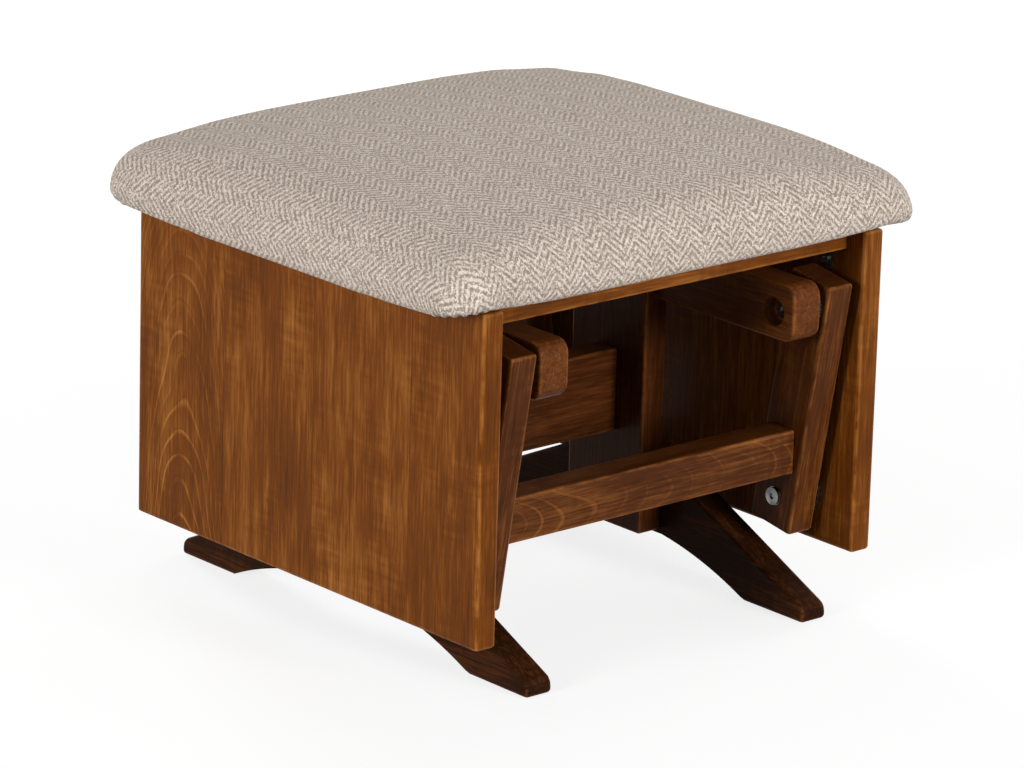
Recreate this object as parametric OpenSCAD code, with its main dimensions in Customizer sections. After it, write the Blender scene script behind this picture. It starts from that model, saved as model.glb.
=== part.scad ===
// Glider ottoman: a padded seat on two side panels, hung on four swing links from a fixed wooden base.
// Origin on the floor under the middle, X to the right, Y to the back, Z up. Millimetres.

/* [Glide box] */
// Width across the outer faces of the side panels
box_w = 432; // [420:1:520]
// Front-to-back depth of a side panel
panel_d = 440; // [430:1:520]
// Thickness of a side panel
panel_t = 21; // [18:0.5:25]
// Height of the panels' lower edge above the floor
panel_low = 49; // [42:1:55]
// Height of a side panel
panel_h = 278; // [275:1:300]
// Front-to-back width of a flat seat rail
seat_rail_w = 62; // [54:1:80]
// Thickness of a seat rail
seat_rail_t = 19; // [17:0.5:21]
// How far a seat rail stands behind the panels' edges
seat_rail_inset = 20.5; // [10:0.5:30]
// Thickness of the seat board
seat_board_t = 12; // [9:0.5:18]

/* [Cushion] */
// How far the cushion overhangs the side panels
side_overhang = 38.5; // [32:0.5:50]
// How far the cushion overhangs the panels' front and back edges
front_overhang = 16; // [12:0.5:30]
// Height of the cushion's shoulder above the panels
shoulder_h = 63; // [58:1:80]
// Rise of the crown above the shoulder
crown_h = 12; // [4:1:25]
// How far the padded sides hang below the panels' top
side_drop = 6; // [3:0.5:10]
// Drop of the shoulder at the corners
corner_drop = 10; // [0:1:18]
// Lift of the lower edge at the corners
corner_lift = 5; // [0:0.5:8]
// Radius of the cushion's corners in plan
cushion_corner_r = 37; // [32:1:60]
// How far a side is drawn in between its corners
drawn_in = 5; // [0:0.5:10]
// Depth of the rounding above the nose
shoulder_r = 50; // [40:1:60]
// Depth of the rounding below the nose
hem_r = 5; // [3:0.5:10]
// Width of the padding beside the seat board
board_padding = 22; // [18:1:30]
// Thickness of the foam slab
foam_t = 32; // [20:1:34]
// How far the foam stays inside the cushion's outline
foam_inset = 46; // [44:1:60]

/* [Base] */
// Length of a foot
foot_len = 448; // [420:1:520]
// Thickness of a foot
foot_t = 27; // [22:0.5:30]
// Height of a foot at its middle
foot_h = 89; // [80:1:90]
// Distance between the shoulder arcs on a foot's top
foot_top_len = 108; // [96:1:114]
// Radius of the shoulder arcs on a foot's top
foot_shoulder_r = 15; // [8:1:20]
// Radius of a foot's nose
foot_nose_r = 10; // [7:0.5:14]
// Height of the straight end below a foot's nose
foot_tip_h = 6; // [4:0.5:9]
// Round edges of a foot
foot_ease = 3; // [2:0.5:3]
// Clear length between the two soles of a foot
arch_len = 310; // [270:1:330]
// Rise of the arc of the arch
arch_rise = 34.5; // [28:0.5:38]
// Height at which the arch is cut flat
arch_top = 31.2; // [24:0.2:34]
// Front-to-back width of an upright
upright_w = 92; // [80:1:96]
// Thickness of an upright
upright_t = 24; // [20:0.5:30]
// Height of an upright's lower end above the floor
upright_low = 34.6; // [34:0.2:50]
// Length of a top rail
rail_len = 430; // [424:1:450]
// Height of a top rail
rail_h = 48; // [44:1:50]
// Thickness of a top rail
rail_t = 30; // [28:0.5:34]
// Gap between a top rail and the seat rails above it
rail_headroom = 18; // [14:1:20]
// Radius of a top rail's ends
rail_end_r = 12; // [6:1:20]
// Depth of the housing that lets an upright into a top rail
rail_lap = 15.5; // [10:0.5:18]
// Height of the cross stretcher
stretcher_h = 73; // [50:1:90]
// Thickness of the cross stretcher
stretcher_t = 25.5; // [20:0.5:40]
// Height of the cross stretcher's lower edge above the floor
stretcher_low = 118.5; // [100:0.5:130]

/* [Swing links] */
// Width of a swing link
link_w = 48; // [42:1:50]
// Thickness of a swing link
link_t = 27; // [24:0.5:27.5]
// Wood above a link's top pivot
link_top_over = 24; // [20:0.5:26]
// Wood below a link's low pivot
link_low_over = 27; // [22:0.5:29]
// Distance of the top pivots from the middle
top_pivot_y = 191.5; // [188:0.5:197]
// Drop of the top pivots below a top rail's upper edge
pivot_drop = 25; // [24:0.5:28]
// Distance of the low pivots from the middle
low_pivot_y = 163; // [158:0.5:168]
// Height of the low pivots above the panels' lower edge
low_pivot_rise = 43; // [41:1:45]
// Gap between a top rail and a link
rail_gap = 6; // [5:0.5:8]
// Gap between a link and a side panel
panel_gap = 10; // [9.5:0.5:14]
// Height of a cross rail
cross_rail_h = 38; // [34:1:44]
// Thickness of a cross rail
cross_rail_t = 30; // [24:0.5:32]
// Height of a cross rail's lower edge above the low pivots
cross_rail_rise = 25; // [20:1:32]

/* [Pivots] */
// Diameter of a pivot bolt's shank
bolt_d = 8; // [6:0.5:9]
// Diameter of a pivot bolt's head
bolt_head_d = 15; // [13:0.5:18]
// Height of a pivot bolt's head
bolt_head_h = 2.4; // [2:0.1:4]
// Across flats of the socket in a bolt's head
socket_flats = 5; // [4:0.5:6]
// Depth of the socket in a bolt's head
socket_depth = 1.4; // [1:0.1:1.6]
// Diameter of the recess for a bolt's head in a top rail
recess_d = 24; // [20:1:28]
// Depth of the recess in a top rail
recess_depth = 12; // [8:1:14]
// Outer diameter of a bearing's sleeve
bearing_d = 16; // [14:0.5:18]
// Diameter of a bearing's flange
flange_d = 38; // [34:1:42]
// Thickness of a bearing's flange
flange_t = 2; // [1.5:0.5:3]
// Outer diameter of a spacer
spacer_d = 22; // [18:1:26]
// Thickness of the plate round a low pivot on the panel
plate_t = 5; // [3:0.5:6]
// Across flats of a lock nut
nut_flats = 13; // [12:0.5:14]
// Height of a lock nut
nut_h = 6.5; // [5:0.5:7]
// Outer diameter of a threaded insert
insert_d = 12; // [10:0.5:14]
// Length of a threaded insert
insert_len = 14; // [10:1:15]
// Play round the bolt in the two rear low bearings
open_pivot_play = 2; // [1.8:0.1:2.5]

/* [Joinery] */
// Diameter of a frame screw
screw_d = 5; // [4:0.5:6]
// Diameter of a frame screw's head
screw_head_d = 10; // [8:0.5:12]
// Height of a frame screw's head
screw_head_h = 3; // [2:0.5:4]
// Length of a frame screw's shank in the second piece
screw_bite = 18; // [12:1:20]
// Distance between the two screws of a joint
screw_pitch = 20; // [16:1:22]
// Diameter of a dowel
dowel_d = 8; // [6:1:10]
// Length of a dowel in a seat rail
dowel_in_rail = 18; // [12:1:24]
// Length of a dowel in a panel
dowel_in_panel = 12; // [8:1:14]
// Distance between the two dowels of a joint
dowel_pitch = 44; // [40:1:46]
// Length of a corner bracket's leg
bracket_leg = 20; // [18:1:22]
// Width of a corner bracket
bracket_w = 16; // [12:1:18]
// Thickness of a corner bracket
bracket_t = 2; // [1.5:0.5:3]
// Diameter of a bracket screw
bracket_screw_d = 4; // [3:0.5:4.5]
// Length of a bracket screw's shank
bracket_screw_len = 14; // [10:1:15]
// Distance of the seat board's screws from the middle
board_screw_x = 120; // [60:5:150]
// Length of a seat board screw's shank in the board
board_screw_bite = 8; // [5:0.5:8.5]

/* [Hidden] */

// Round edge on the boards, and on the softer edges of links and panels
ease = 2;
wide_ease = 3;
// Angle between the faces of a round edge, and faces on a full round corner
ease_step = 45;
corner_faces = 16;
// Radius of a foot's lower corners, and the angles of the small arcs that follow its nose
foot_heel_r = foot_ease + 0.5;
nose_arc = [0 : 25 : 75];
// Radius of the point that closes a fully rounded edge
speck = 0.02;
// Clearance of a fixed round fit, of a running fit, beside a turning face, and round soft parts
fit = 0.05;
run = 0.06;
side_play = 0.15;
soft_gap = 0.3;
// Overrun of every cut
over = 1;
bore_faces = 48;
arch_steps = 16;

// Places along X, from the outside in
panel_in = box_w / 2 - panel_t;
link_out = panel_in - panel_gap;
link_in = link_out - link_t;
rail_out = link_in - rail_gap;
rail_in = rail_out - rail_t;
upright_out = rail_in + rail_lap;
upright_in = upright_out - upright_t;
foot_out = upright_out + foot_t;

// Heights and places that follow from the sizes above
panel_top = panel_low + panel_h;
board_top = panel_top + seat_board_t;
seat_rail_y = panel_d / 2 - seat_rail_inset - seat_rail_w / 2;
seat_rail_z = panel_top - seat_rail_t / 2;
seat_rail_low = panel_top - seat_rail_t;
shoulder_z = panel_top + shoulder_h;
rail_top = seat_rail_low - rail_headroom;
top_pivot_z = rail_top - pivot_drop;
low_pivot_z = panel_low + low_pivot_rise;
cross_rail_low = low_pivot_z + cross_rail_rise;
bracket_shift = screw_head_d - bracket_t;
bracket_y = seat_rail_y + bracket_shift;
bracket_head_d = 2 * bracket_screw_d;
bracket_head_h = bracket_screw_d / 2;
bracket_hole = bracket_leg * 0.6;

// Places of the cushion and what it holds
cushion_x = box_w / 2 + side_overhang;
cushion_y = panel_d / 2 + front_overhang;
board_w = 2 * (cushion_x - board_padding);
board_d = 2 * (cushion_y - board_padding);
foam_x = cushion_x - foam_inset;
foam_y = cushion_y - foam_inset;
foam_low = board_top + soft_gap;
side_low = panel_top - side_drop;
front_low = panel_top + 2 * soft_gap;
// Height of the cushion's nose as a share of its side, and the steps of its levels and of its rim
nose_share = 0.2;
hem_steps = 4;
shoulder_steps = 7;
crown_steps = 7;
corner_steps = 5;
side_steps = 8;

// Places round the cushion's rim: [x share, y share, corner x, corner y, along, faces sideways].
// Along is 0 at the middle of a side and 1 at the corners.
rim_shares = [
    for (q = [0 : 3])
        let (sx = (q == 0 || q == 3) ? 1 : -1, sy = q < 2 ? 1 : -1)
            each [
                for (i = [0 : corner_steps])
                    let (a = 90 * q + 90 * i / corner_steps)
                        [cos(a), sin(a), sx, sy, 1, pow(cos(a), 2)],
                for (i = [1 : side_steps - 1])
                    let (u = 2 * i / side_steps - 1, a = 90 * (q + 1), level = q % 2 == 0)
                        [
                            cos(a), sin(a),
                            level ? -u * sx : sx, level ? sy : -u * sy,
                            abs(u), level ? 0 : 1
                        ]
            ]
];

// The link leans so that its low end is nearer the middle
link_lean = atan((top_pivot_y - low_pivot_y) / (top_pivot_z - low_pivot_z));
pivot_len = norm([top_pivot_y - low_pivot_y, top_pivot_z - low_pivot_z]);
cross_rail_z = cross_rail_low + cross_rail_h / 2;
cross_rail_y = low_pivot_y + (cross_rail_z - low_pivot_z) * tan(link_lean);

dark_wood = [0.24, 0.12, 0.06];
mid_wood = [0.42, 0.24, 0.12];
steel = [0.62, 0.62, 0.60];
ply = [0.78, 0.63, 0.44];
fabric = [0.74, 0.69, 0.62];
foam = [0.93, 0.87, 0.66];

// Centres of the corner arcs of a rectangle
function corners(w, h, r) = [for (i = [-1, 1], j = [-1, 1]) [i * (w / 2 - r), j * (h / 2 - r)]];

// A board: its outline is hulled round corner arcs, and all its edges are eased
module slab(centres, r, t, soft) {
    hull()
        for (c = centres, a = [0 : ease_step : 90])
            translate([c[0], c[1], 0])
                cylinder(
                    h = t - 2 * soft * (1 - cos(a)),
                    r = max((len(c) > 2 ? c[2] : r) - soft * (1 - sin(a)), speck),
                    center = true,
                    $fn = corner_faces
                );
}

// Turns a shape drawn in X and Y so that it lies in Y and Z, with its thickness along X
module on_side(x) {
    translate([x, 0, 0])
        rotate([90, 0, 90])
            children();
}

// Turns a shape drawn in X and Y so that it lies in X and Z, with its thickness along Y
module on_front(y) {
    translate([0, y, 0])
        rotate([90, 0, 0])
            children();
}

module left_and_right() {
    children();
    mirror([1, 0, 0])
        children();
}

module front_and_rear() {
    children();
    mirror([0, 1, 0])
        children();
}

// A round bar or bore along X between two places
module bar(x1, x2, y, z, d) {
    translate([x1, y, z])
        rotate([0, 90, 0])
            cylinder(h = x2 - x1, d = d, $fn = bore_faces);
}

// A hexagonal bar along X between two places
module hex_bar(x1, x2, y, z, flats) {
    translate([x1, y, z])
        rotate([0, 90, 0])
            cylinder(h = x2 - x1, d = flats / cos(30), $fn = 6);
}

// A screw along X: its head fills x1 to x1 + head, and its shank runs on to x2
module screw_x(x1, x2, y, z, d, head_d, head_h) {
    dir = sign(x2 - x1);
    difference() {
        union() {
            bar(min(x1, x1 + dir * head_h), max(x1, x1 + dir * head_h), y, z, head_d);
            bar(min(x1, x2), max(x1, x2), y, z, d);
        }
        hex_bar(
            min(x1 - dir * over, x1 + dir * head_h / 2),
            max(x1 - dir * over, x1 + dir * head_h / 2),
            y, z, d * 0.7
        );
    }
}

// The room that such a screw needs
module screw_room_x(x1, x2, y, z, d, head_d, head_h) {
    dir = sign(x2 - x1);
    tip = x2 + dir * side_play;
    bar(min(x1 - dir * over, x1 + dir * head_h), max(x1 - dir * over, x1 + dir * head_h), y, z, head_d + 2 * fit);
    bar(min(x1, tip), max(x1, tip), y, z, d + 2 * fit);
}

// Frame screws of the base: each place is the head's outer face, the tip, and the height of the pair's middle
module foot_screw_places() {
    for (y = [-1, 1])
        translate([0, y * upright_w / 4, (upright_low + foot_h) / 2])
            children();
}

module top_rail_screw_places() {
    for (y = [-1, 1])
        translate([0, y * upright_w / 4, rail_top - rail_h / 2])
            children();
}

module stretcher_screw_places() {
    for (z = [-1, 1])
        translate([0, 0, stretcher_low + stretcher_h / 2 + z * screw_pitch])
            children();
}

module cross_rail_screw_places() {
    for (z = [-1, 1])
        translate([0, -cross_rail_y, cross_rail_z + z * screw_pitch / 2])
            children();
}

// Right foot: a board with sloped tops, a round nose at each end and an arch below
module foot_body() {
    nose_y = foot_len / 2 - foot_nose_r;
    heel_y = foot_len / 2 - foot_heel_r;
    small = foot_nose_r - foot_heel_r;
    outline = [
        for (s = [-1, 1])
            each [
                [s * heel_y, foot_heel_r, foot_heel_r],
                for (a = nose_arc) [s * (nose_y + small * cos(a)), foot_tip_h + small * sin(a), foot_heel_r],
                [s * foot_top_len / 2, foot_h - foot_shoulder_r, foot_shoulder_r]
            ]
    ];
    arch_r = (pow(arch_len / 2, 2) + pow(arch_rise, 2)) / (2 * arch_rise);
    arch_flat = sqrt(pow(arch_r, 2) - pow(arch_r - arch_rise + arch_top, 2));
    half_arc = [
        for (i = [0 : arch_steps])
            let (y = arch_flat + (arch_len / 2 - arch_flat) * i / arch_steps)
                [y, sqrt(pow(arch_r, 2) - pow(y, 2)) - arch_r + arch_rise]
    ];
    arch = [
        for (p = half_arc) p,
        [arch_len / 2, -over],
        [-arch_len / 2, -over],
        for (i = [0 : arch_steps]) [-half_arc[arch_steps - i][0], half_arc[arch_steps - i][1]]
    ];
    difference() {
        on_side(foot_out - foot_t / 2)
            slab(outline, foot_heel_r, foot_t, foot_ease);
        on_side(foot_out - foot_t / 2)
            linear_extrude(height = foot_t + 2 * over, center = true)
                polygon(arch);
        foot_screw_places()
            screw_room_x(foot_out, upright_out - screw_bite, 0, 0, screw_d, screw_head_d, screw_head_h);
    }
}

module right_foot() {
    color(dark_wood)
        foot_body();
}

module left_foot() {
    color(dark_wood)
        mirror([1, 0, 0])
            foot_body();
}

// Right upright: a wide board that joins foot, stretcher and top rail
module upright_body() {
    upright_h = rail_top - upright_low;
    difference() {
        on_side(upright_out - upright_t / 2)
            translate([0, upright_low + upright_h / 2, 0])
                slab(corners(upright_w, upright_h, ease), ease, upright_t, ease);
        foot_screw_places()
            screw_room_x(foot_out, upright_out - screw_bite, 0, 0, screw_d, screw_head_d, screw_head_h);
        top_rail_screw_places()
            screw_room_x(rail_out, upright_out - screw_bite, 0, 0, screw_d, screw_head_d, screw_head_h);
        stretcher_screw_places()
            screw_room_x(upright_out, upright_in - screw_bite, 0, 0, screw_d, screw_head_d, screw_head_h);
    }
}

module right_upright() {
    color(dark_wood)
        upright_body();
}

module left_upright() {
    color(dark_wood)
        mirror([1, 0, 0])
            upright_body();
}

// Right top rail: round ends, a housing for the upright, and a recess with a bore at each end
module top_rail_body() {
    difference() {
        on_side(rail_out - rail_t / 2)
            translate([0, rail_top - rail_h / 2, 0])
                slab(corners(rail_len, rail_h, rail_end_r), rail_end_r, rail_t, ease);
        translate([rail_in - over, -upright_w / 2 - fit, rail_top - rail_h - over])
            cube([rail_lap + over, upright_w + 2 * fit, rail_h + 2 * over]);
        front_and_rear() {
            bar(rail_in - over, rail_in + recess_depth, -top_pivot_y, top_pivot_z, recess_d);
            bar(rail_in, rail_out + over, -top_pivot_y, top_pivot_z, bolt_d + 2 * fit);
        }
        top_rail_screw_places()
            screw_room_x(rail_out, upright_out - screw_bite, 0, 0, screw_d, screw_head_d, screw_head_h);
    }
}

module right_top_rail() {
    color(dark_wood)
        top_rail_body();
}

module left_top_rail() {
    color(dark_wood)
        mirror([1, 0, 0])
            top_rail_body();
}

// Stretcher between the two uprights
module cross_stretcher() {
    color(dark_wood)
        difference() {
            on_front(0)
                translate([0, stretcher_low + stretcher_h / 2, 0])
                    slab(corners(2 * upright_in, stretcher_h, ease), ease, stretcher_t, ease);
            left_and_right()
                stretcher_screw_places()
                    screw_room_x(upright_out, upright_in - screw_bite, 0, 0, screw_d, screw_head_d, screw_head_h);
        }
}

module foot_screws() {
    color(steel)
        left_and_right()
            foot_screw_places()
                screw_x(foot_out, upright_out - screw_bite, 0, 0, screw_d, screw_head_d, screw_head_h);
}

module top_rail_screws() {
    color(steel)
        left_and_right()
            top_rail_screw_places()
                screw_x(rail_out, upright_out - screw_bite, 0, 0, screw_d, screw_head_d, screw_head_h);
}

module stretcher_screws() {
    color(steel)
        left_and_right()
            stretcher_screw_places()
                screw_x(upright_out, upright_in - screw_bite, 0, 0, screw_d, screw_head_d, screw_head_h);
}

// A pivot bolt whose head starts at x1 and whose shank ends at x2
module pivot_bolt(x1, x2, y, z) {
    difference() {
        union() {
            bar(x1, x1 + bolt_head_h, y, z, bolt_head_d);
            bar(x1, x2, y, z, bolt_d);
        }
        hex_bar(x1 - over, x1 + socket_depth, y, z, socket_flats);
    }
}

// A ring along X with a bore for the pivot bolt
module pivot_ring(x1, x2, y, z, d, play) {
    difference() {
        bar(x1, x2, y, z, d);
        bar(x1 - over, x2 + over, y, z, bolt_d + 2 * play);
    }
}

module top_pivot_bolts() {
    head = rail_in + recess_depth - bolt_head_h;
    color(steel)
        left_and_right()
            front_and_rear()
                pivot_bolt(head, link_out + side_play + nut_h, -top_pivot_y, top_pivot_z);
}

module top_pivot_spacers() {
    color(steel)
        left_and_right()
            front_and_rear()
                pivot_ring(rail_out, link_in - flange_t - side_play, -top_pivot_y, top_pivot_z, spacer_d, fit);
}

module top_pivot_nuts() {
    color(steel)
        left_and_right()
            front_and_rear()
                difference() {
                    hex_bar(link_out + side_play, link_out + side_play + nut_h, -top_pivot_y, top_pivot_z, nut_flats);
                    bar(link_out, link_out + 2 * nut_h, -top_pivot_y, top_pivot_z, bolt_d + 2 * fit);
                }
}

// Front right link: hangs from the top pivot and leans back to the low pivot
module link_body() {
    link_len = link_low_over + pivot_len + link_top_over;
    difference() {
        translate([link_in + link_t / 2, -low_pivot_y, low_pivot_z])
            rotate([link_lean, 0, 0])
                rotate([90, 0, 90])
                    translate([0, link_len / 2 - link_low_over, 0])
                        slab(corners(link_w, link_len, wide_ease), wide_ease, link_t, wide_ease);
        bar(link_in - over, link_out + over, -top_pivot_y, top_pivot_z, bearing_d + 2 * fit);
        bar(link_in - over, link_out + over, -low_pivot_y, low_pivot_z, bearing_d + 2 * fit);
        cross_rail_screw_places()
            screw_room_x(link_out, link_in - screw_bite, 0, 0, screw_d, screw_head_d, screw_head_h);
    }
}

module front_right_link() {
    color(mid_wood)
        link_body();
}

module front_left_link() {
    color(mid_wood)
        mirror([1, 0, 0])
            link_body();
}

module rear_right_link() {
    color(mid_wood)
        mirror([0, 1, 0])
            link_body();
}

module rear_left_link() {
    color(mid_wood)
        mirror([1, 0, 0])
            mirror([0, 1, 0])
                link_body();
}

// Rail that ties the two front links into one swinging frame
module cross_rail_body() {
    difference() {
        on_front(-cross_rail_y)
            translate([0, cross_rail_z, 0])
                slab(corners(2 * link_in, cross_rail_h, ease), ease, cross_rail_t, ease);
        left_and_right()
            cross_rail_screw_places()
                screw_room_x(link_out, link_in - screw_bite, 0, 0, screw_d, screw_head_d, screw_head_h);
    }
}

module front_cross_rail() {
    color(mid_wood)
        cross_rail_body();
}

module rear_cross_rail() {
    color(mid_wood)
        mirror([0, 1, 0])
            cross_rail_body();
}

// A flanged bearing through a link, with its flange on the inner or the outer face
module bearing(y, z, flange_in, play) {
    difference() {
        union() {
            bar(link_in, link_out, y, z, bearing_d);
            if (flange_in)
                bar(link_in - flange_t, link_in, y, z, flange_d);
            else
                bar(link_out, link_out + flange_t, y, z, flange_d);
        }
        bar(link_in - flange_t - over, link_out + flange_t + over, y, z, bolt_d + 2 * play);
    }
}

module front_bearings() {
    color(steel)
        left_and_right() {
            bearing(-top_pivot_y, top_pivot_z, true, run);
            bearing(-low_pivot_y, low_pivot_z, false, run);
        }
}

module rear_bearings() {
    color(steel)
        left_and_right() {
            bearing(top_pivot_y, top_pivot_z, true, run);
            bearing(low_pivot_y, low_pivot_z, false, open_pivot_play);
        }
}

module cross_rail_screw_pair() {
    left_and_right()
        cross_rail_screw_places()
            screw_x(link_out, link_in - screw_bite, 0, 0, screw_d, screw_head_d, screw_head_h);
}

module front_frame_screws() {
    color(steel)
        cross_rail_screw_pair();
}

module rear_frame_screws() {
    color(steel)
        mirror([0, 1, 0])
            cross_rail_screw_pair();
}

module dowel_places() {
    for (y = [-1, 1])
        translate([0, -seat_rail_y + y * dowel_pitch / 2, seat_rail_z])
            children();
}

module dowel_rooms() {
    left_and_right()
        front_and_rear()
            dowel_places()
                bar(
                    panel_in - dowel_in_rail - side_play,
                    panel_in + dowel_in_panel + side_play,
                    0, 0, dowel_d + 2 * fit
                );
}

// One bracket under the front seat rail's right end, its screws, and the room for the screws
module bracket() {
    angle = [
        [0, 0],
        [bracket_leg, 0],
        [bracket_leg, bracket_t],
        [bracket_t, bracket_t],
        [bracket_t, bracket_leg],
        [0, bracket_leg]
    ];
    difference() {
        translate([panel_in, -bracket_y, seat_rail_low])
            rotate([90, 180, 0])
                linear_extrude(height = bracket_w, center = true)
                    polygon(angle);
        bracket_screw_rooms();
    }
}

module panel_bracket_screw() {
    translate([0, -bracket_y, seat_rail_low - bracket_hole])
        screw_x(
            panel_in - bracket_t - bracket_head_h, panel_in - bracket_t + bracket_screw_len,
            0, 0, bracket_screw_d, bracket_head_d, bracket_head_h
        );
}

module rail_bracket_screw() {
    translate([panel_in - bracket_hole, -bracket_y, seat_rail_low - bracket_t - bracket_head_h])
        rotate([0, -90, 0])
            screw_x(0, bracket_head_h + bracket_screw_len, 0, 0, bracket_screw_d, bracket_head_d, bracket_head_h);
}

module bracket_screw_rooms() {
    tip = bracket_screw_len + side_play;
    bar(
        panel_in - 2 * bracket_t, panel_in - bracket_t + tip,
        -bracket_y, seat_rail_low - bracket_hole, bracket_screw_d + 2 * fit
    );
    translate([panel_in - bracket_hole, -bracket_y, seat_rail_low - 2 * bracket_t])
        cylinder(h = bracket_t + tip, d = bracket_screw_d + 2 * fit, $fn = bore_faces);
}

module corner_brackets() {
    color(steel)
        left_and_right()
            front_and_rear()
                bracket();
}

module bracket_screws() {
    color(steel)
        left_and_right()
            front_and_rear() {
                panel_bracket_screw();
                rail_bracket_screw();
            }
}

// Right side panel: edge-glued boards, bored for dowels, brackets and the two pivot inserts
module panel_body() {
    difference() {
        on_side(panel_in + panel_t / 2)
            translate([0, panel_low + panel_h / 2, 0])
                slab(corners(panel_d, panel_h, wide_ease), wide_ease, panel_t, wide_ease);
        dowel_rooms();
        front_and_rear() {
            bracket_screw_rooms();
            bar(panel_in - over, panel_in + insert_len + side_play, -low_pivot_y, low_pivot_z, insert_d + 2 * fit);
        }
    }
}

module right_panel() {
    color(mid_wood)
        panel_body();
}

module left_panel() {
    color(mid_wood)
        mirror([1, 0, 0])
            panel_body();
}

module board_screw_places() {
    for (x = [-1, 1])
        translate([x * board_screw_x, -seat_rail_y, seat_rail_low])
            rotate([0, -90, 0])
                children();
}

// Front seat rail: a flat board between the panels that carries the seat board
module seat_rail_body() {
    difference() {
        translate([0, -seat_rail_y, seat_rail_z])
            slab(corners(2 * panel_in, seat_rail_w, ease), ease, seat_rail_t, ease);
        dowel_rooms();
        left_and_right()
            bracket_screw_rooms();
        board_screw_places()
            screw_room_x(0, seat_rail_t + board_screw_bite, 0, 0, bracket_screw_d, bracket_head_d, bracket_head_h);
    }
}

module front_seat_rail() {
    color(mid_wood)
        seat_rail_body();
}

module rear_seat_rail() {
    color(mid_wood)
        mirror([0, 1, 0])
            seat_rail_body();
}

module seat_rail_dowels() {
    color(ply)
        left_and_right()
            front_and_rear()
                dowel_places()
                    bar(panel_in - dowel_in_rail, panel_in + dowel_in_panel, 0, 0, dowel_d);
}

// Plywood board on the panels and the seat rails
module seat_board() {
    color(ply)
        difference() {
            translate([0, 0, panel_top + seat_board_t / 2])
                slab(corners(board_w, board_d, seat_board_t), seat_board_t, seat_board_t, ease);
            front_and_rear()
                board_screw_places()
                    screw_room_x(
                        0, seat_rail_t + board_screw_bite,
                        0, 0, bracket_screw_d, bracket_head_d, bracket_head_h
                    );
        }
}

module seat_board_screws() {
    color(steel)
        front_and_rear()
            board_screw_places()
                screw_x(0, seat_rail_t + board_screw_bite, 0, 0, bracket_screw_d, bracket_head_d, bracket_head_h);
}

// One level of the cushion, drawn in from the rim by inset, with corners of radius r
function cushion_ring(inset, r, bow, z_side, z_front, droop) = [
    for (s = rim_shares)
        let (
            cx = cushion_x - inset - r,
            cy = cushion_y - inset - r,
            out = r - bow * (1 - pow(s[4], 2))
        )
            [
                cx * s[2] + out * s[0],
                cy * s[3] + out * s[1],
                z_side * s[5] + z_front * (1 - s[5]) - droop * pow(s[4], 4)
            ]
];

// A level of the padded side: up is its share of the side's height
function side_level(inset, up) =
    cushion_ring(
        inset,
        cushion_corner_r - inset / 2,
        drawn_in,
        side_low + (shoulder_z - side_low) * up,
        front_low + (shoulder_z - front_low) * up,
        corner_drop * up - corner_lift * (1 - up)
    );

// Closed skin of the levels: quads between them, and a fan at each end
module lofted(levels, low_point, top_point) {
    n = len(levels[0]);
    last = len(levels) - 1;
    points = concat([for (l = levels) each l], [low_point, top_point]);
    low = len(points) - 2;
    walls = [
        for (k = [0 : last - 1], i = [0 : n - 1])
            let (a = k * n + i, b = k * n + (i + 1) % n)
                each [[a, a + n, b + n], [a, b + n, b]]
    ];
    low_fan = [for (i = [0 : n - 1]) [low, i, (i + 1) % n]];
    top_fan = [for (i = [0 : n - 1]) [last * n + (i + 1) % n, last * n + i, low + 1]];
    polyhedron(points = points, faces = concat(walls, low_fan, top_fan), convexity = 4);
}

// Hem below the nose, shoulder above it, and crown up to the middle
module cushion_form() {
    hem = [
        for (i = [0 : hem_steps - 1])
            let (a = 90 * i / hem_steps)
                side_level(hem_r * (1 - sin(a)), nose_share * (1 - cos(a)))
    ];
    shoulder = [
        for (i = [0 : shoulder_steps])
            let (a = 90 * i / shoulder_steps)
                side_level(shoulder_r * (1 - cos(a)), nose_share + (1 - nose_share) * sin(a))
    ];
    crown = [
        for (i = [1 : crown_steps])
            let (s = i / crown_steps, z = shoulder_z + crown_h * (1 - pow(1 - s, 2)))
                cushion_ring(
                    shoulder_r + (min(cushion_x, cushion_y) - shoulder_r - over) * s,
                    (cushion_corner_r - shoulder_r / 2) * (1 - s) + speck,
                    drawn_in * (1 - s),
                    z, z,
                    corner_drop * pow(1 - s, 2)
                )
    ];
    lofted(concat(hem, shoulder, crown), [0, 0, side_low], [0, 0, shoulder_z + crown_h]);
}

// Rounded foam slab on the seat board
module foam_slab(grow) {
    translate([0, 0, foam_low + foam_t / 2])
        slab(
            corners(2 * (foam_x + grow), 2 * (foam_y + grow), seat_board_t),
            seat_board_t, foam_t + 2 * grow, 2 * ease
        );
}

module seat_foam() {
    color(foam)
        foam_slab(0);
}

// Padded cover: crowned, drawn in at the sides, and open below for the panels, the board and the foam
module seat_cover() {
    pocket_h = seat_board_t + 2 * soft_gap;
    color(fabric)
        difference() {
            cushion_form();
            translate([0, 0, panel_top - side_drop])
                cube([box_w + 2 * soft_gap, 2 * panel_d, 2 * (side_drop + soft_gap)], center = true);
            translate([0, 0, panel_top - soft_gap + pocket_h / 2])
                cube([board_w + 2 * soft_gap, board_d + 2 * soft_gap, pocket_h], center = true);
            foam_slab(soft_gap);
        }
}

module panel_inserts() {
    color(steel)
        left_and_right()
            front_and_rear()
                pivot_ring(panel_in, panel_in + insert_len, -low_pivot_y, low_pivot_z, insert_d, fit);
}

module low_pivot_bolts() {
    head = link_in - side_play - bolt_head_h;
    color(steel)
        left_and_right()
            front_and_rear()
                pivot_bolt(head, panel_in + insert_len - side_play, -low_pivot_y, low_pivot_z);
}

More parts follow.
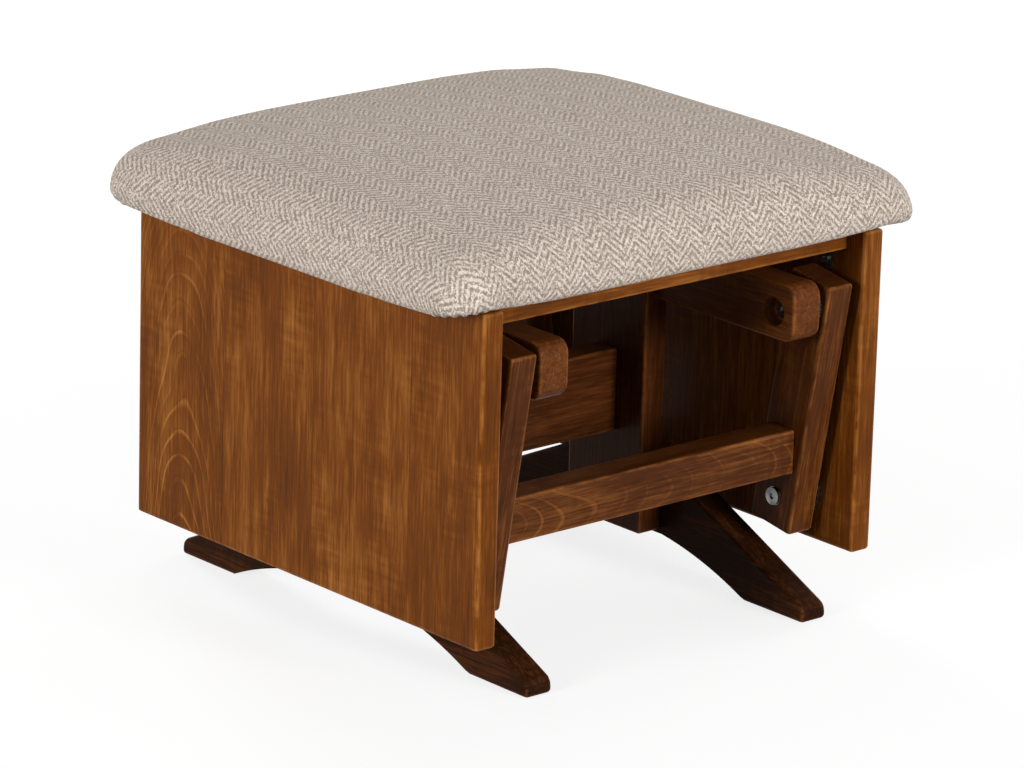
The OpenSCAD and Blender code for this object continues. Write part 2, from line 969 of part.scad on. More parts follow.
module low_pivot_spacers() {
    near = link_out + flange_t + side_play;
    color(steel)
        left_and_right()
            front_and_rear()
                difference() {
                    union() {
                        bar(near, panel_in, -low_pivot_y, low_pivot_z, spacer_d);
                        bar(panel_in - plate_t, panel_in, -low_pivot_y, low_pivot_z, flange_d);
                    }
                    bar(near - over, panel_in + over, -low_pivot_y, low_pivot_z, bolt_d + 2 * fit);
                }
}

left_foot();
right_foot();
left_upright();
right_upright();
left_top_rail();
right_top_rail();
cross_stretcher();
foot_screws();
top_rail_screws();
stretcher_screws();
top_pivot_bolts();
top_pivot_spacers();
top_pivot_nuts();
front_left_link();
front_right_link();
front_cross_rail();
front_bearings();
front_frame_screws();
rear_left_link();
rear_right_link();
rear_cross_rail();
rear_bearings();
rear_frame_screws();
left_panel();
right_panel();
front_seat_rail();
rear_seat_rail();
seat_rail_dowels();
corner_brackets();
bracket_screws();
seat_board();
seat_board_screws();
seat_foam();
seat_cover();
panel_inserts();
low_pivot_bolts();
low_pivot_spacers();
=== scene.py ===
import math

import bpy
import numpy as np
from mathutils import Matrix, Vector


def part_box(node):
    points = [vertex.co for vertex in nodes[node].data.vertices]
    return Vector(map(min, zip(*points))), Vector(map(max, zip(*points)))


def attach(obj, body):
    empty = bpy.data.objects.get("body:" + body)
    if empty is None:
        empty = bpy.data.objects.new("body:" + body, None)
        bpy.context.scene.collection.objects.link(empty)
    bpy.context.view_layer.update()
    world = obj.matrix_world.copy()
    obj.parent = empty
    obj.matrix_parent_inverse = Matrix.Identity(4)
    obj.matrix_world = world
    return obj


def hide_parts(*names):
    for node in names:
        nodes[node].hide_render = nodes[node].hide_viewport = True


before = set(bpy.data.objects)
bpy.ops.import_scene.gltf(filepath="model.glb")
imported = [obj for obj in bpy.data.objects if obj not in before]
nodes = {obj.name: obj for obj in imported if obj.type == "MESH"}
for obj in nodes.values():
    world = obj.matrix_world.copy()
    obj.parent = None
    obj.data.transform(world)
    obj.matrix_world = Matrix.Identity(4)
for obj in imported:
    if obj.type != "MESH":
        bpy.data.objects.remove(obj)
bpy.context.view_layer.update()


# Feet: two boards of 27 mm maple, bandsawn to an arch below and sloped tops,
# with every edge eased on a router. They are given the darkest tones of the wood,
# and the sawn end grain at the tips has drunk more stain than the long grain.

def stain(red, green, blue):
    """A colour as a paint card gives it, 0 to 255, for a shader's socket."""
    def even(part):
        part /= 255
        return part / 12.92 if part <= 0.04045 else ((part + 0.055) / 1.055) ** 2.4
    return (even(red), even(green), even(blue), 1.0)


class Wire:
    """A number that runs between nodes, so that a finish is written as plain sums."""

    def __init__(self, finish, socket):
        self.finish, self.socket = finish, socket

    def sum(self, operation, *others):
        sockets = dict(enumerate((self,) + others))
        return self.finish.node("ShaderNodeMath", {"operation": operation}, sockets)

    def __add__(self, other):
        return self.sum("ADD", other)

    __radd__ = __add__

    def __sub__(self, other):
        return self.sum("SUBTRACT", other)

    def __rsub__(self, other):
        return (self * -1) + other

    def __mul__(self, other):
        return self.sum("MULTIPLY", other)

    __rmul__ = __mul__

    def __truediv__(self, other):
        return self.sum("DIVIDE", other)

    def __pow__(self, other):
        return self.sum("POWER", other)

    def __gt__(self, other):
        return self.sum("GREATER_THAN", other)

    def __lt__(self, other):
        return self.sum("LESS_THAN", other)

    def __mod__(self, other):
        return self.sum("FLOORED_MODULO", other)

    def __abs__(self):
        return self.sum("ABSOLUTE")

    def whole(self):
        return self.sum("FLOOR")

    def root(self):
        return self.sum("SQRT")

    def between(self, low, high):
        """0 below low, 1 above high, and smooth between them."""
        return self.finish.node(
            "ShaderNodeMapRange",
            {"interpolation_type": "SMOOTHSTEP"},
            {"Value": self, "From Min": low, "From Max": high},
        )


class Finish:
    """One material of the ottoman, whose nodes node() makes and which wear() puts on CAD nodes."""

    def __init__(self, name, **sockets):
        self.material = bpy.data.materials.new(name)
        self.material.use_nodes = True
        self.tree = self.material.node_tree
        self.shader = self.tree.nodes["Principled BSDF"]
        self.surface(sockets)

    def join(self, socket, value):
        if isinstance(value, Wire):
            self.tree.links.new(value.socket, socket)
        else:
            socket.default_value = value

    def surface(self, sockets):
        for name, value in sockets.items():
            self.join(self.shader.inputs[name.replace("_", " ")], value)

    def node(self, kind, settings=None, sockets=None, out=0):
        made = self.tree.nodes.new(kind)
        for name, value in (settings or {}).items():
            if name == "stops":
                ramp = made.color_ramp.elements
                while len(ramp) < len(value):
                    ramp.new(0.5)
                for stop, (place, colour) in zip(ramp, value):
                    stop.position, stop.color = place, colour
            else:
                setattr(made, name, value)
        for name, value in (sockets or {}).items():
            self.join(made.inputs[name], value)
        return Wire(self, made.outputs[out])

    def along(self, direction):
        """How far a point of the piece lies along a direction, in metres."""
        if not hasattr(self, "place"):
            self.place = self.node("ShaderNodeTexCoord", out="Object")
        return self.node(
            "ShaderNodeVectorMath",
            {"operation": "DOT_PRODUCT"},
            {0: self.place, 1: tuple(direction)},
            out="Value",
        )

    def facing(self, direction):
        """1 where the surface looks along a direction or away from it, 0 where it lies along it."""
        normal = self.node("ShaderNodeTexCoord", out="Normal")
        return abs(
            self.node(
                "ShaderNodeVectorMath",
                {"operation": "DOT_PRODUCT"},
                {0: normal, 1: tuple(direction)},
                out="Value",
            )
        )

    def spot(self, x, y, z):
        return self.node("ShaderNodeCombineXYZ", None, {0: x, 1: y, 2: z})

    def noise(self, x, y, z, detail=2.0, rough=0.5):
        return self.node(
            "ShaderNodeTexNoise",
            None,
            {"Vector": self.spot(x, y, z), "Scale": 1.0, "Detail": detail, "Roughness": rough},
        )

    def lot(self, dimensions, **place):
        """A number from 0 to 1, drawn by lot for each place."""
        return self.node("ShaderNodeTexWhiteNoise", {"noise_dimensions": dimensions}, place)

    def mix(self, share, low, high):
        return self.node(
            "ShaderNodeMix", {"data_type": "RGBA"}, {0: share, 6: low, 7: high}, out=2
        )

    def bump(self, height, depth, strength=1.0):
        return self.node(
            "ShaderNodeBump", None, {"Height": height, "Distance": depth, "Strength": strength}
        )

    def wear(self, *names):
        for name in names:
            nodes[name].data.materials.clear()
            nodes[name].data.materials.append(self.material)


class StainedMaple(Finish):
    """Maple under a brown stain and a satin lacquer.

    Run is the way of the grain, and cross lies across a board's face. Pith is how far
    the tree's heart lies behind that face, and lean is how steeply it comes nearer.
    Figure is how strongly the yearly rings show, shine is the lacquer's roughness,
    haze is its gloss, and thirst is how much darker the end grain is.
    """

    ring_width = 0.0027
    rub_start, rub_full = 0.0035, 0.0008
    board_width, first_board = 0.1135, -0.174
    glue_core, glue_edge = 0.0003, 0.0011
    grain_depth = 0.0003

    def __init__(
        self, piece, run, cross, tones, joints=(), seed=0.0,
        pith=0.055, lean=0.05, figure=0.08, shine=0.42, haze=0.05, thirst=0.1,
    ):
        super().__init__(
            f"{piece}_maple", Roughness=shine, Specular_IOR_Level=haze,
            Coat_Weight=haze * 0.4, Coat_Roughness=0.15,
        )
        run, cross = Vector(run).normalized(), Vector(cross).normalized()
        spots, near = [], []
        for way in (run, cross, run.cross(cross)):
            reach = [vertex.co.dot(way) for vertex in nodes[piece].data.vertices]
            middle, half = (min(reach) + max(reach)) / 2, (max(reach) - min(reach)) / 2
            spots.append(self.along(way) - middle)
            near.append(abs(spots[-1]).between(half - self.rub_start, half - self.rub_full))
        length, width, depth = spots
        board, side, flame = 0.0, width, 1.0
        for joint in joints:
            board = (width > joint) + board
        if joints:
            seed = board * 3.7 + seed
            flame = board > 2.5
            side = width - (board * self.board_width + self.first_board)
        draw = self.lot("1D", W=seed) - 0.5

        # The rings run round the heart, and they waver as the tree grew. A ring's late
        # wood ends in a fine pale line, which is stronger in some years.
        sweep = self.noise(length * 9 + seed, width * 12, depth * 12, 1.0) - 0.5
        heart = length * lean + pith + draw * 0.02 + sweep * 0.012 + depth
        side = side + draw * 0.03 + sweep * 0.01
        years = (side * side + heart * heart).root() / self.ring_width + draw * 9
        ring = years % 1.0
        line = ring.between(0.72, 0.88) * (1 - ring.between(0.9, 1.0))
        good_year = self.lot("1D", W=years.whole() + seed)
        strong = self.noise(length * 14, width * 50 + seed, depth * 50, 1.0).between(0.3, 0.65)

        # Every noise has so many spots a metre along the grain, across and into the board.
        fibre = self.noise(length * 26, width * 430, depth * 430 + seed, 3.0, 0.7)
        streak = self.noise(length * 5, width * 120, depth * 120 + seed, 3.0, 0.65)
        cloud = self.noise(length * 8, width * 24 + seed, depth * 24, 3.0, 0.55)
        curl = self.noise(length * 170, width * 26, depth * 26 + seed, 1.0) - 0.5
        patch = self.noise(length * 12 + seed, width * 18, depth * 18).between(0.45, 0.62)
        tone = (
            0.5
            + (fibre - 0.5) * 0.7
            + (streak - 0.5) * 0.4
            + (cloud - 0.5) * 0.55
            + curl * patch * 0.22
            + (line * (strong + 0.3) * (good_year + 0.2) - ring * 0.3 + 0.1) * flame * figure
        )
        if joints:
            tone = tone - (board < 0.5) * 0.07 + (board < 1.5) * 0.03
            for joint in joints:
                glue_line = 1 - abs(width - joint).between(self.glue_core, self.glue_edge)
                tone = tone - glue_line * 0.12

        # The edges are painted paler, partly rubbed wear from handling and partly a painted
        # highlight of the eased edges catching the light, and the ends have drunk more stain.
        worn_and_lit_edges = near[0] * near[1] + near[1] * near[2] + near[2] * near[0]
        uneven = self.noise(length * 60 + seed, width * 90, depth * 90, 2.0).between(0.3, 0.6)
        tone = tone + worn_and_lit_edges * (uneven * 0.2 + 0.05)
        ends = self.facing(run).between(0.8, 0.97)
        tone = tone - ends * thirst
        dark, middle, light = tones
        colour = self.node(
            "ShaderNodeValToRGB",
            {"stops": [(0.1, stain(*dark)), (0.5, stain(*middle)), (0.9, stain(*light))]},
            {0: tone},
        )
        grain = fibre * 0.6 + streak * 0.4
        self.surface({
            "Base Color": colour,
            "Roughness": (grain - 0.5) * 0.16 + ends * 0.14 + shine,
            "Normal": self.bump(grain, self.grain_depth, 0.3),
        })
        self.wear(piece)


feet_tones = ((14, 6, 2), (44, 22, 9), (96, 54, 26))
StainedMaple("left_foot", (0, 1, 0), (0, 0, 1), feet_tones, seed=1.3, haze=0.02)
StainedMaple("right_foot", (0, 1, 0), (0, 0, 1), feet_tones, seed=4.9, haze=0.02)


# Uprights, stretcher and top rails: the fixed frame. The uprights are screwed to
# the feet's inner faces, the stretcher joins them, and the top rails are housed
# over their upper ends. The stretcher's grain runs across, the rails' front to back.

# The uprights and stretcher stand deep in the box's dark inside, and their tones are darker than the
# rails' as painted shade.
shaded_frame_tones = ((27, 11, 3), (65, 31, 9), (110, 61, 25))
rail_tones = ((34, 15, 5), (84, 44, 17), (132, 78, 36))
StainedMaple("left_upright", (0, 0, 1), (0, 1, 0), shaded_frame_tones, seed=8.1)
StainedMaple("right_upright", (0, 0, 1), (0, 1, 0), shaded_frame_tones, seed=2.6)
StainedMaple("cross_stretcher", (1, 0, 0), (0, 0, 1), shaded_frame_tones, seed=5.5)
StainedMaple("left_top_rail", (0, 1, 0), (0, 0, 1), rail_tones, seed=9.7, thirst=0.0)
StainedMaple("right_top_rail", (0, 1, 0), (0, 0, 1), rail_tones, seed=3.2, thirst=0.0)


# Fasteners and pivots: bright zinc plated on steel, with the fine mottle of the
# bath and the duller smears of handling. Screws, bolts, nuts, inserts, spacers,
# brackets and the bearings' sleeves all carry it.

zinc = Finish("bright_zinc", Metallic=1.0)
zinc_spot = [zinc.along(way) for way in ((1, 0, 0), (0, 1, 0), (0, 0, 1))]
mottle = zinc.noise(*(part * 900 for part in zinc_spot), 2.0)
wipe = zinc.noise(*(part * 90 for part in zinc_spot), 1.0)
zinc.surface({
    "Base Color": zinc.mix(wipe.between(0.3, 0.75), stain(96, 97, 99), stain(158, 158, 156)),
    "Roughness": 0.28 + (mottle - 0.5) * 0.3 + (wipe - 0.5) * 0.2,
    "Normal": zinc.bump(mottle, 0.0001, 0.3),
})
zinc.wear(
    "foot_screws", "top_rail_screws", "stretcher_screws", "front_frame_screws", "rear_frame_screws",
    "top_pivot_bolts", "top_pivot_spacers", "top_pivot_nuts", "front_bearings", "rear_bearings",
    "corner_brackets", "bracket_screws", "seat_board_screws", "panel_inserts",
    "low_pivot_bolts", "low_pivot_spacers",
)


# Swing frames: two leaning links joined low down by a cross rail, one frame in
# front and one behind. The links' grain follows their lean, and their eased
# edges are painted a little lighter, for wear from handling and for a painted highlight.

link_lean = math.radians(9.355)
swing_tones = ((29, 12, 4), (77, 39, 12), (138, 84, 40))
for end, sign in (("front", -1), ("rear", 1)):
    up_the_link = (0, sign * math.sin(link_lean), math.cos(link_lean))
    over_the_link = (0, math.cos(link_lean), -sign * math.sin(link_lean))
    for number, side in enumerate(("left", "right")):
        StainedMaple(
            f"{end}_{side}_link", up_the_link, over_the_link, swing_tones,
            seed=6.1 + 2.7 * number + sign,
        )
    StainedMaple(
        f"{end}_cross_rail", (1, 0, 0), (0, 0, 1), swing_tones,
        seed=7.7 + sign, lean=0.11, figure=0.16,
    )


# Side panels and seat rails: the glide box. Each panel is glued up from four
# upright boards that differ a little in tone, with fine glue lines between them,
# and the flat rails are dowelled between the panels under the seat.

panel_tones = ((50, 24, 6), (108, 57, 12), (168, 108, 48))
glue_lines = (-0.134, -0.012, 0.105)
for side, seed in (("left", 0.4), ("right", 11.0)):
    StainedMaple(
        f"{side}_panel", (0, 0, 1), (0, 1, 0), panel_tones,
        joints=glue_lines, seed=seed, pith=0.06, lean=0.11, figure=0.24,
    )
for end, seed in (("front", 2.2), ("rear", 5.1)):
    StainedMaple(f"{end}_seat_rail", (1, 0, 0), (0, 1, 0), panel_tones, seed=seed)
beech = Finish("dowel_beech", Roughness=0.6)
pores = beech.noise(beech.along((60, 0, 0)), beech.along((0, 900, 0)), beech.along((0, 0, 900)), 2.0)
beech.surface({"Base Color": beech.mix(pores, stain(170, 132, 92), stain(224, 192, 150))})
beech.wear("seat_rail_dowels")


# Seat board: bare birch plywood, screwed up through the seat rails. Its faces
# show a rotary-cut birch figure, and its edges the layers of the ply.

birch = Finish("birch_ply", Roughness=0.62)
across, back, height = birch.along((1, 0, 0)), birch.along((0, 1, 0)), birch.along((0, 0, 1))
swirl = birch.noise(across * 3, back * 22, height * 4, 3.0, 0.6)
veneer = birch.noise(across * 30, back * 500, height * 500, 2.0)
lowest_ply, ply = 0.327, 0.0024
layer = ((height - lowest_ply) / ply) % 2.0 > 1.0
edge = 1 - birch.facing((0, 0, 1)).between(0.3, 0.7)
face_tone = swirl.between(0.25, 0.8) * 0.6 + veneer * 0.4
birch.surface({
    "Base Color": birch.mix(
        edge * layer,
        birch.mix(face_tone, stain(196, 160, 112), stain(228, 200, 156)),
        stain(150, 108, 66),
    ),
    "Normal": birch.bump(veneer, 0.0002, 0.4),
})
birch.wear("seat_board")


# Foam: one slab of seat foam glued to the board, its upper edges shaved round,
# and the open cells of the cut block all over it. The cover hides it.

low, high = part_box("seat_foam")
middle, reach = (low + high) / 2, high - low
bpy.ops.object.select_all(action="DESELECT")
bpy.ops.mesh.primitive_cube_add(size=1, location=middle, scale=reach)
slab = bpy.context.object
slab.name = "foam_slab"
bpy.ops.object.transform_apply(location=True, rotation=True, scale=True)
shaved = slab.modifiers.new("shaved_edges", "BEVEL")
shaved_edge = 0.008
shaved.width, shaved.segments, shaved.limit_method = shaved_edge, 4, "ANGLE"
bpy.ops.object.modifier_apply(modifier="shaved_edges")
bpy.ops.object.shade_smooth_by_angle(angle=math.radians(40))
cells = Finish("seat_foam", Roughness=0.95)
cell_spot = cells.node("ShaderNodeTexCoord", out="Object")
bubbles = cells.node("ShaderNodeTexVoronoi", None, {"Vector": cell_spot, "Scale": 700.0})
cells.surface({
    "Base Color": cells.mix(bubbles.between(0.1, 0.7), stain(206, 190, 140), stain(240, 230, 190)),
    "Normal": cells.bump(bubbles, 0.0006, 0.7),
})
slab.data.materials.append(cells.material)
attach(slab, "glide_box")
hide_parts("seat_foam")


# Seat cover: herringbone cloth drawn over the foam and the board's edges and
# stapled below. The padding swells it into a crown, the corners are eased in
# with small gathers, and it hangs a little below the side panels' top.

board_low, board_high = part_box("seat_board")
cover_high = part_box("seat_cover")[1]
panel_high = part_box("right_panel")[1]


def block(name, corner, opposite):
    """A plain block between two corners, used to fill or cut the cover."""
    bpy.ops.object.select_all(action="DESELECT")
    corner, opposite = Vector(corner), Vector(opposite)
    middle, reach = (corner + opposite) / 2, opposite - corner
    bpy.ops.mesh.primitive_cube_add(size=1, location=middle, scale=reach)
    made = bpy.context.object
    made.name = name
    bpy.ops.object.transform_apply(location=True, rotation=True, scale=True)
    return made


def grown(corner, by):
    """A corner moved by the same amount along x, y and z."""
    return corner + Vector((by, by, by))


def chosen(piece):
    bpy.ops.object.select_all(action="DESELECT")
    piece.select_set(True)
    bpy.context.view_layer.objects.active = piece


def points(piece):
    """The places of a piece's vertices, one row for each."""
    flat = np.empty(len(piece.data.vertices) * 3)
    piece.data.vertices.foreach_get("co", flat)
    return flat.reshape(-1, 3)


def place(piece, where):
    piece.data.vertices.foreach_set("co", np.asarray(where, float).ravel())
    piece.data.update()


def smooth_step(value, start, end):
    share = np.clip((value - start) / (end - start), 0, 1)
    return share * share * (3 - 2 * share)


# The CAD cover's pocket is filled first, so that the cloth is one closed skin.
overlap, above_panels = 0.003, 0.0006
filling_low = (board_low.x - overlap, board_low.y - overlap, panel_high.z + above_panels)
fillings = [
    block("board_filling", filling_low, grown(board_high, overlap)),
    block("foam_filling", grown(low, -2 * overlap), grown(high, overlap)),
]
cover = bpy.data.objects.new("seat_cover_cloth", nodes["seat_cover"].data.copy())
bpy.context.scene.collection.objects.link(cover)
cover.data.materials.clear()
chosen(cover)
for filling in fillings:
    filling.select_set(True)
bpy.ops.object.join()
cover.data.remesh_voxel_size = 0.005
bpy.ops.object.voxel_remesh()
start = points(cover)
normals = np.array([v.normal[:] for v in cover.data.vertices])

# The cloth is held by its staples below and free from the panels' top upwards.
# Pressure from the padding swells it, and the swell is kept within a small crown.
held_rise, free_rise = 0.004, 0.022
slack, shrink, crown, moments = 0.0004, 0.003, 0.0025, 20
free = smooth_step(start[:, 2], panel_high.z + held_rise, panel_high.z + free_rise)
place(cover, start - normals * free[:, None] * shrink)
held = cover.vertex_groups.new(name="held")
for tenth in range(1, 11):
    some = np.nonzero(np.rint((1 - free) * 10) == tenth)[0]
    if len(some):
        held.add(some.tolist(), tenth / 10, "REPLACE")
cloth = cover.modifiers.new("padding", "CLOTH")
cloth.settings.quality = 6
cloth.settings.mass = 0.3
cloth.settings.tension_stiffness = 20
cloth.settings.compression_stiffness = 20
cloth.settings.shear_stiffness = 8
cloth.settings.bending_stiffness = 2
cloth.settings.vertex_group_mass = "held"
cloth.settings.use_pressure = True
cloth.settings.uniform_pressure_force = 3
cloth.settings.effector_weights.gravity = 0
cloth.point_cache.frame_start, cloth.point_cache.frame_end = 1, moments
shrunk = points(cover)
for moment in range(1, moments + 1):
    bpy.context.scene.frame_set(moment)
chosen(cover)
bpy.ops.object.modifier_apply(modifier="padding")
bpy.context.scene.frame_set(1)
swell = ((points(cover) - shrunk) * normals).sum(axis=1)
swell = np.maximum(swell, 0) * crown / swell.max()
start = start + normals * swell[:, None]
place(cover, start - normals * free[:, None] * slack)
smoothing = cover.modifiers.new("evened", "SMOOTH")
smoothing.factor, smoothing.iterations = 0.5, 7
finer = cover.modifiers.new("finer", "SUBSURF")
finer.levels = finer.render_levels = 1
chosen(cover)
bpy.ops.object.modifier_apply(modifier="evened")
bpy.ops.object.modifier_apply(modifier="finer")

# The cloth is gathered below each corner in small tucks, which fade out
# above the nose of the cushion.
now = points(cover)
normals = np.array([v.normal[:] for v in cover.data.vertices])
corner_round, tuck_depth, tucks_a_turn = 0.037, 0.0009, 22
tuck_start, tuck_full, tuck_foot, tuck_top = -0.012, 0.006, 0.002, 0.030
out = np.abs(now[:, :2]) - np.array([cover_high.x - corner_round, cover_high.y - corner_round])
turn = np.arctan2(out[:, 1], out[:, 0])
at_corner = smooth_step(np.minimum(out[:, 0], out[:, 1]), tuck_start, tuck_full)
below = 1 - smooth_step(now[:, 2], panel_high.z + tuck_foot, panel_high.z + tuck_top)
tuck = np.cos(turn * tucks_a_turn) * at_corner * below * tuck_depth
place(cover, now + normals * tuck[:, None])

# The board, the foam and the panels' tops get their room in it again.
pocket_gap, open_below = 0.0003, 0.004
past_ends, under_panels_top = 0.3, 0.29
room_low = grown(board_low, -pocket_gap)
room_low.z = board_low.z - open_below
panel_side = panel_high.x + pocket_gap
cutters = [
    block("board_room", room_low, grown(board_high, pocket_gap)),
    block("foam_room", grown(low, -pocket_gap), grown(high, pocket_gap)),
    block(
        "panel_room",
        (-panel_side, -past_ends, under_panels_top),
        (panel_side, past_ends, panel_high.z + pocket_gap),
    ),
]
for cutter in cutters:
    cut = cover.modifiers.new("pocket", "BOOLEAN")
    cut.operation, cut.object, cut.solver = "DIFFERENCE", cutter, "EXACT"
    chosen(cover)
    bpy.ops.object.modifier_apply(modifier="pocket")
    bpy.data.objects.remove(cutter)
chosen(cover)
bpy.ops.object.shade_smooth_by_angle(angle=math.radians(50))

# The cloth's own two ways, across and along its columns, in metres: it lies
# flat over the top and is rolled down every side by the length of the roll.
roll, roll_rise, nose_height = 0.050, 0.052, 0.0078
lip_drop, lip_in, ease = 0.014, 0.006, 0.92
nose = panel_high.z + nose_height
bend = np.radians(np.linspace(90, -90, 91))
profile_r = np.where(bend >= 0, roll * np.cos(bend), roll - lip_in * (1 - np.cos(bend)))
profile_z = np.where(bend >= 0, roll_rise * np.sin(bend), lip_drop * np.sin(bend))
steps = np.hypot(np.diff(profile_r), np.diff(profile_z))
length = np.concatenate([[0], np.cumsum(steps)])
angle = np.arctan2(profile_z, profile_r)
now = points(cover)
flat_part = np.array([cover_high.x - roll, cover_high.y - roll])
inner = np.clip(now[:, :2], -flat_part, flat_part)
away = now[:, :2] - inner
distance = np.linalg.norm(away, axis=1)
rolled = ease * np.interp(-np.arctan2(now[:, 2] - nose, distance), -angle, length)
nothing = 1e-6
over = np.where(distance > nothing, rolled / np.maximum(distance, nothing), 1.0)
ways = inner + away * over[:, None]
weave = cover.data.uv_layers.new(name="weave")
corner_vertex = np.empty(len(cover.data.loops), dtype=np.int32)
cover.data.loops.foreach_get("vertex_index", corner_vertex)
weave.data.foreach_set("uv", ways[corner_vertex].ravel())

# Herringbone: a twill of three up and three down whose slope turns back every
# thirteen threads. Cream warp shows where it lies over the brown weft.
tweed = Finish(
    "herringbone_tweed", Roughness=0.9, Specular_IOR_Level=0.2,
    Sheen_Weight=0.15, Sheen_Roughness=0.4, Sheen_Tint=stain(255, 236, 222),
)
ways_map = tweed.node("ShaderNodeUVMap", {"uv_map": "weave"})
cross_spot, back_spot = (
    tweed.node("ShaderNodeSeparateXYZ", None, {0: ways_map}, out=axis) for axis in ("X", "Y")
)
yarn, threads, first_column, most_drift = 0.00112, 13, 0.0073, 0.0012
drift = tweed.noise(cross_spot * 30, back_spot * 30, 0.0, 1.0) - 0.5
u = (cross_spot + drift * most_drift + first_column) / yarn
v = back_spot / yarn
warp, weft = u.whole(), v.whole()
in_warp, in_weft = u - warp, v - weft
column = (warp / threads).whole()
back_way = column % 2.0
step = 1 - back_way * 2
phase = (weft + step * warp + back_way * 3) % 6.0
warp_up = phase < 2.5
weft_slide = in_warp + back_way * (1 - in_warp * 2)
float_along = (phase + in_weft) / 3 * warp_up + (phase - 3 + weft_slide) / 3 * (1 - warp_up)
float_round = in_warp * warp_up + in_weft * (1 - warp_up)
long_way = 1 - (float_along * 2 - 1) ** 2
cross_way = 1 - (float_round * 2 - 1) ** 2
height = (long_way.between(-0.1, 0.9) * 0.6 + 0.4) * (cross_way.between(-0.05, 1.0) * 0.85 + 0.15)
yarn_rise = 0.0008
fuzz = tweed.noise(u * 2.3, v * 2.3, 0.0, 3.0, 0.7)
slub_warp = tweed.noise(warp * 7.31, v * 0.12, 0.0, 1.0)
slub_weft = tweed.noise(u * 0.12, weft * 7.31, 5.0, 1.0)
slub = slub_warp * warp_up + slub_weft * (1 - warp_up)
cream = tweed.mix(slub.between(0.3, 0.7), stain(228, 213, 200), stain(252, 240, 228))
brown = tweed.mix(slub.between(0.3, 0.7), stain(100, 83, 72), stain(150, 132, 118))
yarns = tweed.mix(warp_up, brown, cream)
crossing = tweed.lot("2D", Vector=tweed.spot(warp, weft, 0.0))
worn = tweed.mix(crossing * 0.55, yarns, stain(184, 167, 155))
fleck = tweed.lot("3D", Vector=tweed.spot(warp, weft, 3.0))
worn = tweed.mix((fleck > 0.75) * 0.6, worn, stain(104, 88, 77))
worn = tweed.mix((fleck < 0.22) * 0.6, worn, stain(255, 246, 235))
clump = tweed.noise(u * 0.42, v * 0.42, 7.0, 3.0, 0.65)
worn = tweed.mix(clump.between(0.53, 0.66) * 0.36, worn, stain(112, 96, 86))
worn = tweed.mix((1 - clump.between(0.34, 0.47)) * 0.38, worn, stain(255, 245, 234))
shadow = tweed.mix(height.between(0.0, 0.45), stain(112, 97, 86), worn)
tweed.surface({
    "Base Color": tweed.mix((fuzz - 0.5) * 0.5 + 0.25, shadow, stain(196, 182, 166)),
    "Normal": tweed.bump(height + fuzz * 0.35, yarn_rise, 0.6),
})
cover.data.materials.clear()
cover.data.materials.append(tweed.material)
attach(cover, "glide_box")
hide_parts("seat_cover")


# Floor, backdrop, lights and camera: a pale studio floor with soft lamps, and
# the camera where the photograph was taken from, closer in on the ottoman.


def seen_by_eye(finish):
    """1 for what the camera sees, straight or by a gloss or through glass, and 0 for plain light."""
    kinds = ("Camera", "Glossy", "Transmission")
    return sum(finish.node("ShaderNodeLightPath", out=f"Is {kind} Ray") for kind in kinds)


bpy.ops.object.select_all(action="DESELECT")
floor_width, whiter_from, white_at = 14, 0.9, 3.5
bpy.ops.mesh.primitive_plane_add(size=floor_width, location=(0, 0, 0))
floor = bpy.context.object
floor.name = "studio_floor"
pale = Finish("studio_white", Roughness=0.9, Base_Color=stain(120, 120, 120))
sideways, forward = pale.along((1, 0, 0)), pale.along((0, 1, 0))
far_off = (sideways * sideways + forward * forward).root().between(whiter_from, white_at)
glow = pale.mix(far_off, stain(230, 230, 230), stain(255, 255, 255))
pale.surface({
    "Emission Color": pale.mix(seen_by_eye(pale), stain(0, 0, 0), glow),
    "Emission Strength": 1.0,
})
floor.data.materials.append(pale.material)


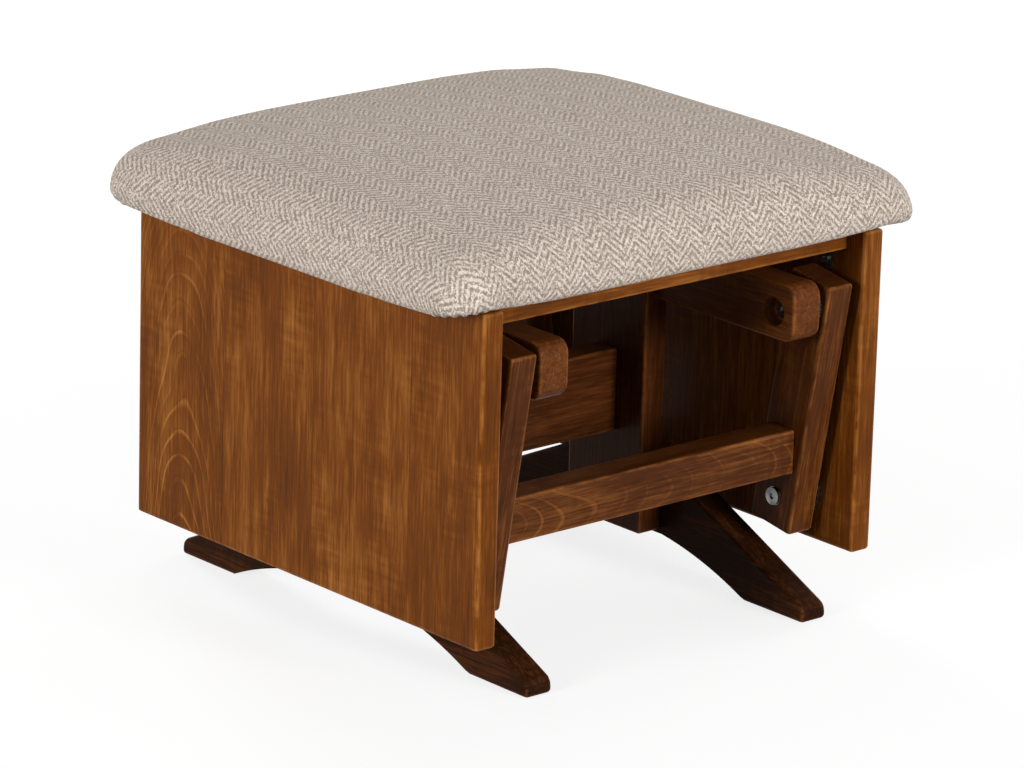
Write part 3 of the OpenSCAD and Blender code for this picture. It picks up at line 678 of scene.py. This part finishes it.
class Sky(Finish):
    """The light all round, written in the same way as a finish."""

    def __init__(self, name):
        self.world = bpy.data.worlds.new(name)
        self.world.use_nodes = True
        self.tree = self.world.node_tree
        bpy.context.scene.world = self.world

    def glow(self, strength):
        return self.node(
            "ShaderNodeBackground", None, {"Color": (1, 1, 1, 1), "Strength": strength}
        )

    def fade(self, value, start, end, first, last):
        return self.node(
            "ShaderNodeMapRange", None,
            {"Value": value, "From Min": start, "From Max": end, "To Min": first, "To Max": last},
        )


sky = Sky("studio_sky")
sky_way = sky.node("ShaderNodeTexCoord", out="Generated")
upward = sky.node("ShaderNodeSeparateXYZ", None, {0: sky_way}, out="Z")
backward = sky.node("ShaderNodeSeparateXYZ", None, {0: sky_way}, out="Y")
light_level = sky.fade(upward, 0, 1, 0.46, 0.22) * sky.fade(backward, -1, 1, 1.0, 0.6)
seen_or_lit = sky.node(
    "ShaderNodeMixShader", None,
    {0: seen_by_eye(sky), 1: sky.glow(light_level), 2: sky.glow(1.0)},
)
sky.join(sky.tree.nodes["World Output"].inputs[0], seen_or_lit)

lamp_width = 1.4
lamp_aim = Vector((0, 0, 0.2))


def lamp(name, spot, power):
    """A round soft lamp that looks at the middle of the ottoman."""
    light = bpy.data.lights.new(name, "AREA")
    light.shape, light.size, light.energy = "DISK", lamp_width, power
    holder = bpy.data.objects.new(name, light)
    holder.location = spot
    holder.rotation_euler = (lamp_aim - Vector(spot)).to_track_quat("-Z", "Y").to_euler()
    bpy.context.scene.collection.objects.link(holder)


lamp("left_lamp", (-4.2, -0.4, 1.3), 146)
lamp("front_lamp", (0.8, -4.2, 1.2), 150)
lamp("rear_lamp", (1.2, 3.8, 1.7), 62)
lamp("right_lamp", (4.2, 0.8, 1.2), 62)

focal_length, film_width = 205.0, 36.0
camera_spot, camera_aim = (-3.053, -3.4945, 1.6048), Vector((-0.0002, -0.0084, 0.1792))
camera_roll = math.radians(1.602)
lens = bpy.data.cameras.new("photo_camera")
lens.lens, lens.sensor_width = focal_length, film_width
camera = bpy.data.objects.new("photo_camera", lens)
camera.location = camera_spot
aim = camera_aim - camera.location
tilt = Matrix.Rotation(camera_roll, 3, "Z").to_quaternion()
camera.rotation_euler = (aim.to_track_quat("-Z", "Y") @ tilt).to_euler()
bpy.context.scene.collection.objects.link(camera)
bpy.context.scene.camera = camera

bpy.context.scene.view_settings.view_transform = "Standard"
